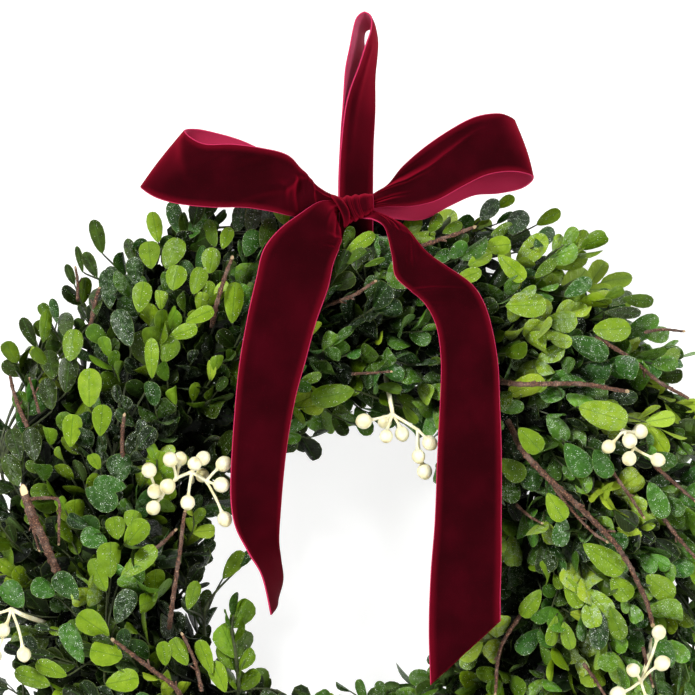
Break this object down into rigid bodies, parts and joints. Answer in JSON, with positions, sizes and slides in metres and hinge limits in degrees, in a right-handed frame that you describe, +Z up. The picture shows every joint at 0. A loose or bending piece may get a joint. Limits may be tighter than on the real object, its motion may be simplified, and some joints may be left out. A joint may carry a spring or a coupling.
{
  "type": "mistletoe wreath",
  "caption": "Hanging wreath of boxwood-like foliage with cream mistletoe-style berry sprigs, brown twigs and a burgundy velvet ribbon bow with a hanging loop.",
  "frame": {"origin": "the hook point: where a hook or nail bears on the underside of the ribbon at the top of the hanging loop", "axes": "+Z up, the wreath hanging below the origin; -Y is the front with the bow, +Y the side towards the wall; +X to the right as seen from the front"},
  "size_m": [0.4497, 0.0996, 0.5512],
  "materials": {
    "velvet": "burgundy velvet ribbon with a brighter woven edge",
    "boxwood": "waxy boxwood leaves on thin green-brown stems, some with white glitter",
    "berries": "satin cream berries and stalks",
    "twigs": "dry bark",
    "vine": "dry vine bark",
    "wire": "green enamelled florist's wire"
  },
  "bodies": {
    "root": {"vine_strand_1": "vine", "vine_strand_2": "vine", "vine_strand_3": "vine", "tie_wire_1": "wire", "tie_wire_2": "wire", "tie_wire_3": "wire", "tie_wire_4": "wire", "tie_wire_5": "wire", "tie_wire_6": "wire", "tie_wire_7": "wire", "tie_wire_8": "wire", "boxwood_inner_1": "boxwood", "boxwood_inner_2": "boxwood", "boxwood_inner_3": "boxwood", "boxwood_inner_4": "boxwood", "boxwood_inner_5": "boxwood", "boxwood_inner_6": "boxwood", "boxwood_inner_7": "boxwood", "boxwood_inner_8": "boxwood", "boxwood_front_1": "boxwood", "boxwood_front_2": "boxwood", "boxwood_front_3": "boxwood", "boxwood_front_4": "boxwood", "boxwood_front_5": "boxwood", "boxwood_front_6": "boxwood", "boxwood_front_7": "boxwood", "boxwood_front_8": "boxwood", "boxwood_outer_1": "boxwood", "boxwood_outer_2": "boxwood", "boxwood_outer_3": "boxwood", "boxwood_outer_4": "boxwood", "boxwood_outer_5": "boxwood", "boxwood_outer_6": "boxwood", "boxwood_outer_7": "boxwood", "boxwood_outer_8": "boxwood", "boxwood_sprig": "boxwood", "berry_sprig_1": "berries", "berry_sprig_2": "berries", "berry_sprig_3": "berries", "berry_sprig_4": "berries", "berry_sprig_5": "berries", "berry_sprig_6": "berries", "berry_sprig_7": "berries", "twig_1": "twigs", "twig_2": "twigs", "twig_3": "twigs", "twig_4": "twigs", "twig_5": "twigs", "twig_6": "twigs", "twig_7": "twigs", "twig_8": "twigs", "bow_loop_left": "velvet", "bow_loop_right": "velvet", "bow_tail_left": "velvet", "bow_tail_right": "velvet", "bow_knot": "velvet", "hanging_loop": "velvet"}
  },
  "joints": []
}
